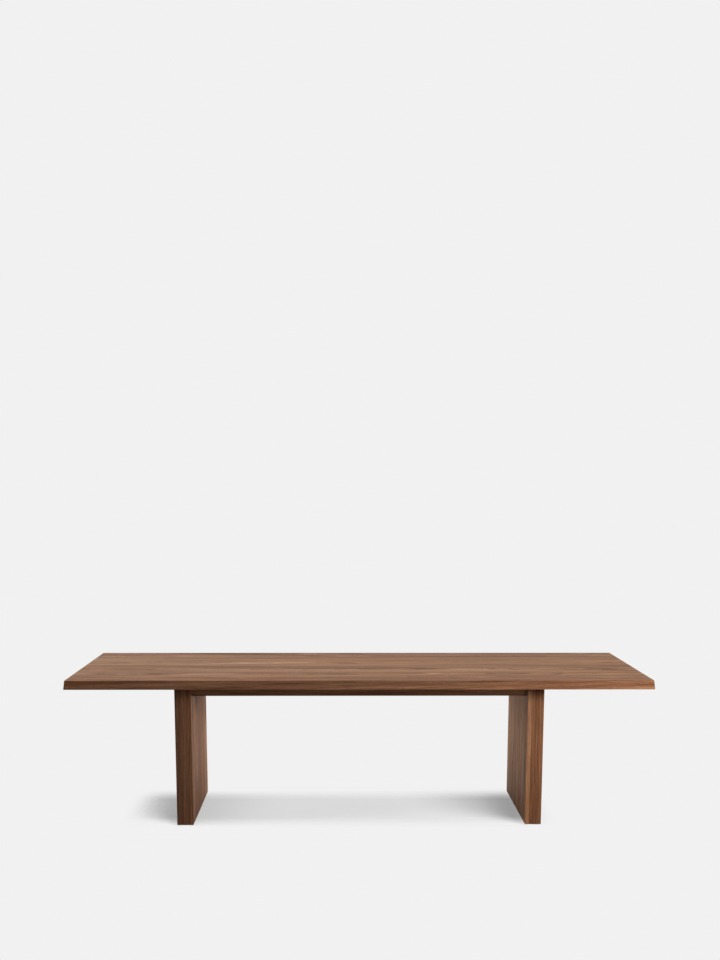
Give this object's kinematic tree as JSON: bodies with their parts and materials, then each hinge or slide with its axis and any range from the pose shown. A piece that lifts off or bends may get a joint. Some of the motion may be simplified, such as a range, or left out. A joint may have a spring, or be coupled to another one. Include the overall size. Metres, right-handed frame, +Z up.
{
  "type": "dining table",
  "caption": "Long rectangular dining table with a thick plank top whose edges lean outward, two wide slab legs set in from the ends and a low rail underframe.",
  "frame": {"origin": "on the floor under the centre of the top", "axes": "+X along the length, -Y towards the front that the picture shows, +Z up"},
  "size_m": [2.7996, 0.9996, 0.75],
  "materials": {
    "walnut_top": "oiled satin",
    "walnut_leg": "oiled satin",
    "walnut_frame": "oiled satin",
    "core_wood": "planed, unfinished",
    "black_steel": "powder-coated, matt",
    "zinc_steel": "zinc-plated",
    "insert_brass": "plain",
    "glide_nylon": "moulded, matt"
  },
  "bodies": {
    "root": {"back_rail": "walnut_frame", "channel_screws": "zinc_steel", "clip_screws": "zinc_steel", "floor_glides": "glide_nylon", "front_rail": "walnut_frame", "glide_screws": "zinc_steel", "left_cross_rail": "walnut_frame", "left_end_rail": "walnut_frame", "left_leg_back_stile": "walnut_leg", "left_leg_core_stiles": "core_wood", "left_leg_foot_blocks": "core_wood", "left_leg_front_stile": "walnut_leg", "left_leg_inner_board_1": "walnut_leg", "left_leg_inner_board_2": "walnut_leg", "left_leg_inner_board_3": "walnut_leg", "left_leg_inner_board_4": "walnut_leg", "left_leg_inner_board_5": "walnut_leg", "left_leg_outer_board_1": "walnut_leg", "left_leg_outer_board_2": "walnut_leg", "left_leg_outer_board_3": "walnut_leg", "left_leg_outer_board_4": "walnut_leg", "left_leg_outer_board_5": "walnut_leg", "left_stiffener_channel": "black_steel", "leg_bolt_washers": "zinc_steel", "leg_bolts": "zinc_steel", "leg_inserts": "insert_brass", "right_cross_rail": "walnut_frame", "right_end_rail": "walnut_frame", "right_leg_back_stile": "walnut_leg", "right_leg_core_stiles": "core_wood", "right_leg_foot_blocks": "core_wood", "right_leg_front_stile": "walnut_leg", "right_leg_inner_board_1": "walnut_leg", "right_leg_inner_board_2": "walnut_leg", "right_leg_inner_board_3": "walnut_leg", "right_leg_inner_board_4": "walnut_leg", "right_leg_inner_board_5": "walnut_leg", "right_leg_outer_board_1": "walnut_leg", "right_leg_outer_board_2": "walnut_leg", "right_leg_outer_board_3": "walnut_leg", "right_leg_outer_board_4": "walnut_leg", "right_leg_outer_board_5": "walnut_leg", "right_stiffener_channel": "black_steel", "top_board_1": "walnut_top", "top_board_2": "walnut_top", "top_board_3": "walnut_top", "top_board_4": "walnut_top", "top_board_5": "walnut_top", "top_board_6": "walnut_top", "top_board_7": "walnut_top", "top_board_8": "walnut_top", "top_clips": "zinc_steel", "top_splines": "core_wood"}
  },
  "joints": []
}
